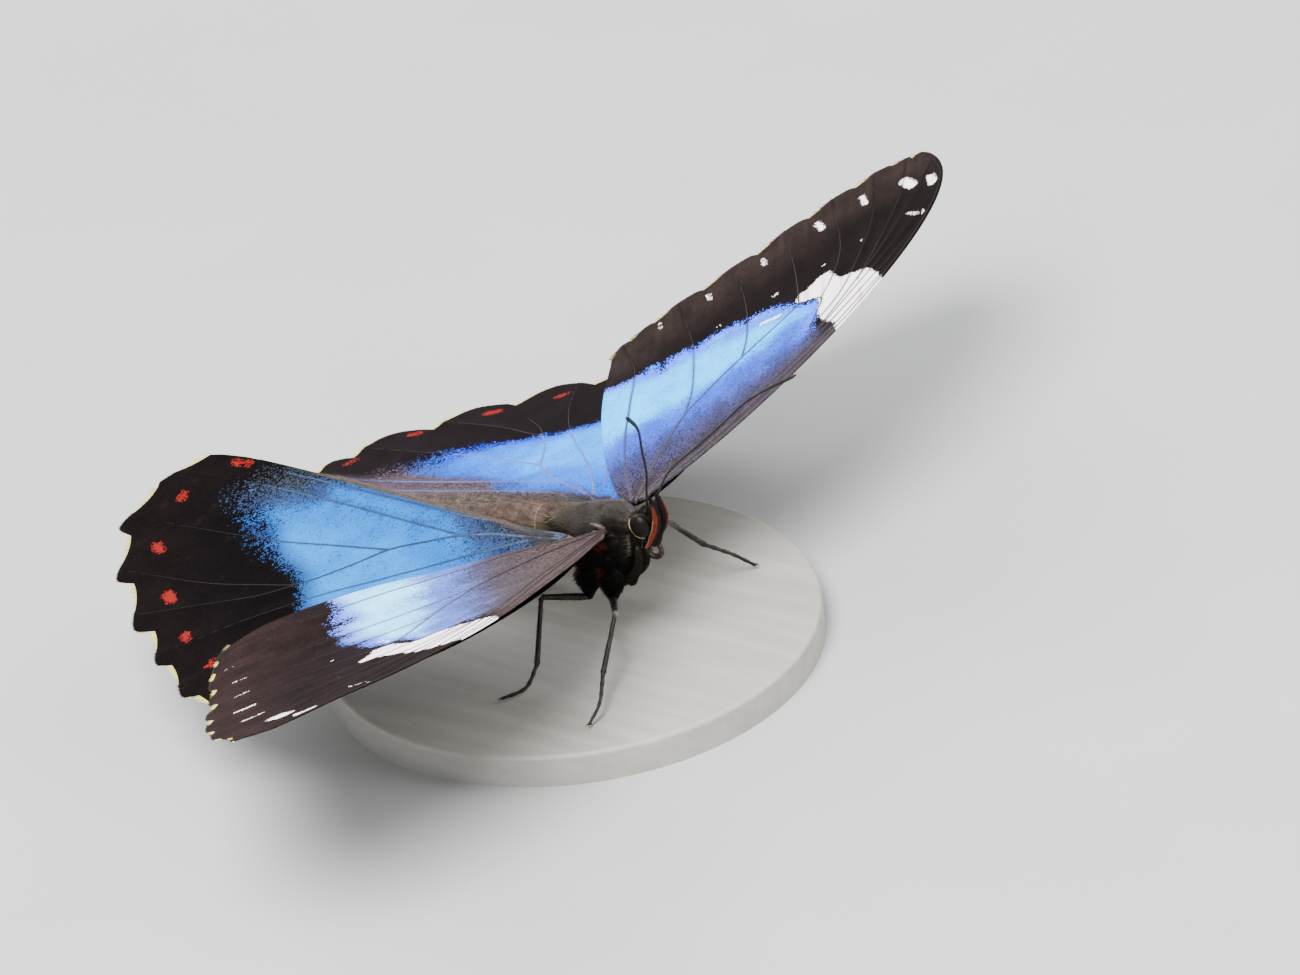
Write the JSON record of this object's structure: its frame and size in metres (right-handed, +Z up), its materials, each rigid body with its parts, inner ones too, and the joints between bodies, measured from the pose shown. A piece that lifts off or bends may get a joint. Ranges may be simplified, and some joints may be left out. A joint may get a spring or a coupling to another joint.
{
  "type": "blue morpho butterfly",
  "caption": "Life-size blue morpho butterfly with spread wings, standing on a plain round base.",
  "frame": {"origin": "middle of the flat underside of the round base, which is on the insect's plane of symmetry", "axes": "+Z up, -Y is the way the head points, +X is the insect's left"},
  "size_m": [0.1481, 0.0766, 0.0431],
  "materials": {
    "base": "smooth pale painted wood",
    "body_fur": "grey-brown fur",
    "abdomen_fur": "short mauve-brown fur",
    "eye": "glossy black",
    "palp": "scaly, orange-red, cream and black stripes",
    "dark_chitin": "dark brown, satin",
    "blue_wing": "metallic blue scales with a brown-black border"
  },
  "bodies": {
    "root": {"stand_base": "base", "thorax": "body_fur", "head": "body_fur", "abdomen": "abdomen_fur", "eye_left": "eye", "eye_right": "eye", "palp_left": "palp", "palp_right": "palp", "proboscis": "dark_chitin", "antenna_left": "dark_chitin", "antenna_right": "dark_chitin", "foreleg_left": "dark_chitin", "foreleg_right": "dark_chitin", "midleg_left_coxa": "dark_chitin", "midleg_left_femur": "dark_chitin", "midleg_left_tibia": "dark_chitin", "midleg_left_tarsus": "dark_chitin", "midleg_right_coxa": "dark_chitin", "midleg_right_femur": "dark_chitin", "midleg_right_tibia": "dark_chitin", "midleg_right_tarsus": "dark_chitin", "hindleg_left_coxa": "dark_chitin", "hindleg_left_femur": "dark_chitin", "hindleg_left_tibia": "dark_chitin", "hindleg_left_tarsus": "dark_chitin", "hindleg_right_coxa": "dark_chitin", "hindleg_right_femur": "dark_chitin", "hindleg_right_tibia": "dark_chitin", "hindleg_right_tarsus": "dark_chitin", "forewing_left": "blue_wing", "forewing_right": "blue_wing", "hindwing_left": "blue_wing", "hindwing_right": "blue_wing"}
  },
  "joints": []
}
